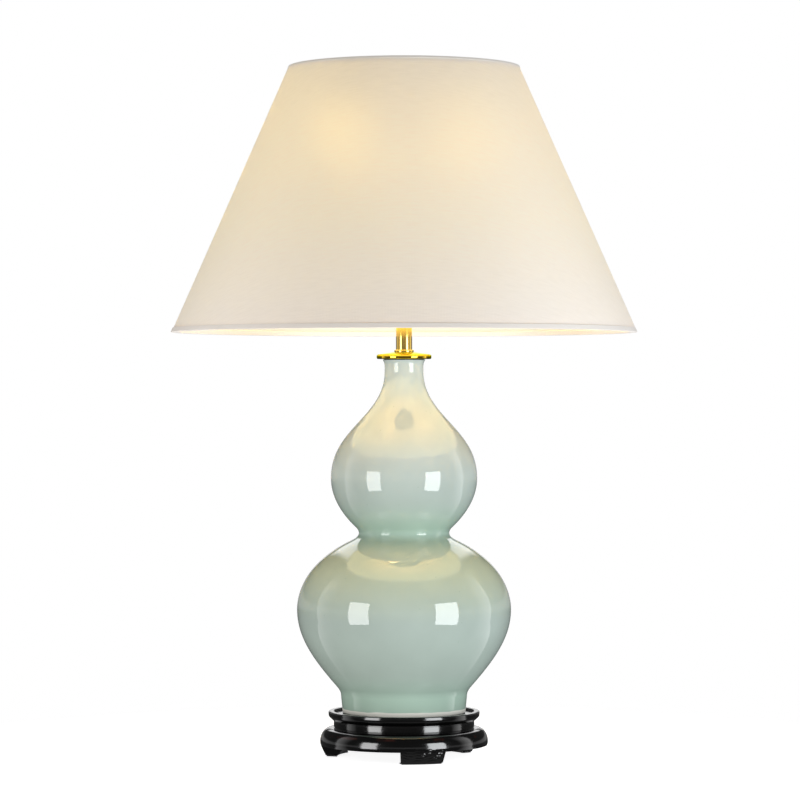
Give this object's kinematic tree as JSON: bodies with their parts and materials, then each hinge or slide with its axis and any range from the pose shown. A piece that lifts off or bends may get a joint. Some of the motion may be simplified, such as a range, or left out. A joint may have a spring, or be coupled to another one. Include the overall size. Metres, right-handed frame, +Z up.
{
  "type": "double gourd table lamp",
  "caption": "Double gourd table lamp: glazed ceramic body on a round footed wood stand, brass stem and cap, tapered fabric shade over a bulb cluster.",
  "frame": {"origin": "on the floor, under the lamp's axis", "axes": "+Z up along the stem, -Y towards the lamp's front, +X to its right as seen from the front"},
  "size_m": [0.46, 0.46, 0.6827],
  "materials": {
    "celadon_glaze": "glossy celadon glaze",
    "black_lacquer": "black lacquer, glossy",
    "brass": "polished",
    "zinc_steel": "zinc plated",
    "painted_wire": "white painted",
    "felt": "felt",
    "bush_plastic": "moulded",
    "phenolic": "moulded",
    "fibre": "vulcanised fibre",
    "shade_fabric": "plain weave",
    "shade_liner": "translucent",
    "hem_tape": "folded tape",
    "bulb_glass": "frosted",
    "bulb_aluminium": "rolled thread"
  },
  "bodies": {
    "base": {"foot_pads": "felt", "stand_apron": "black_lacquer", "stand_waist": "black_lacquer", "stand_gallery": "black_lacquer", "foot_felt": "felt", "gourd_vase": "celadon_glaze", "neck_bush": "bush_plastic", "neck_felt": "felt", "vase_cap": "brass", "stem_collar": "brass", "stem_tube": "brass", "tie_rod": "zinc_steel", "rod_washer": "zinc_steel", "rod_lock_washer": "zinc_steel", "rod_nut": "zinc_steel", "cord_bush": "bush_plastic", "cluster_body": "brass", "cluster_cover": "brass", "riser_rod": "brass", "socket_nipple_left": "zinc_steel", "socket_cap_left": "brass", "socket_shell_left": "brass", "socket_liner_left": "fibre", "socket_block_left": "phenolic", "socket_screw_shell_left": "brass", "socket_contact_left": "brass", "socket_nipple_right": "zinc_steel", "socket_cap_right": "brass", "socket_shell_right": "brass", "socket_liner_right": "fibre", "socket_block_right": "phenolic", "socket_screw_shell_right": "brass", "socket_contact_right": "brass"},
    "seat": {"seat_washer": "brass"},
    "shade": {"shade_spider": "brass", "shade_top_ring": "painted_wire", "shade_bottom_ring": "painted_wire", "shade_liner": "shade_liner", "shade_cover": "shade_fabric", "shade_top_hem": "hem_tape", "shade_bottom_hem": "hem_tape"},
    "finial": {"finial": "brass"},
    "bulb_left": {"bulb_base_left": "bulb_aluminium", "bulb_tip_left": "phenolic", "bulb_glass_left": "bulb_glass"},
    "pull_left": {"pull_chain_left": "brass", "pull_bell_left": "brass"},
    "bulb_right": {"bulb_base_right": "bulb_aluminium", "bulb_tip_right": "phenolic", "bulb_glass_right": "bulb_glass"},
    "pull_right": {"pull_chain_right": "brass", "pull_bell_right": "brass"}
  },
  "joints": [
    {"name": "shade_turn", "type": "hinge", "parent": "base", "child": "seat", "pos_m": [0, 0, 0.65556], "axis": [0, 0, 1], "continuous": true},
    {"name": "shade_lift", "type": "slide", "parent": "seat", "child": "shade", "axis": [0, 0, 1], "range_m": [0, 0.26]},
    {"name": "finial_unscrew", "type": "slide", "parent": "shade", "child": "finial", "axis": [0, 0, 1], "range_m": [0, 0.018]},
    {"name": "bulb_left_unscrew", "type": "slide", "parent": "base", "child": "bulb_left", "axis": [-0.352, -0.1281, 0.9272], "range_m": [0, 0.028]},
    {"name": "pull_left_switch", "type": "slide", "parent": "base", "child": "pull_left", "axis": [0, 0, -1], "range_m": [0, 0.006], "stiffness_N_per_m": 300, "springref_m": -0.001},
    {"name": "bulb_right_unscrew", "type": "slide", "parent": "base", "child": "bulb_right", "axis": [0.352, 0.1281, 0.9272], "range_m": [0, 0.028]},
    {"name": "pull_right_switch", "type": "slide", "parent": "base", "child": "pull_right", "axis": [0, 0, -1], "range_m": [0, 0.006], "stiffness_N_per_m": 300, "springref_m": -0.001}
  ]
}
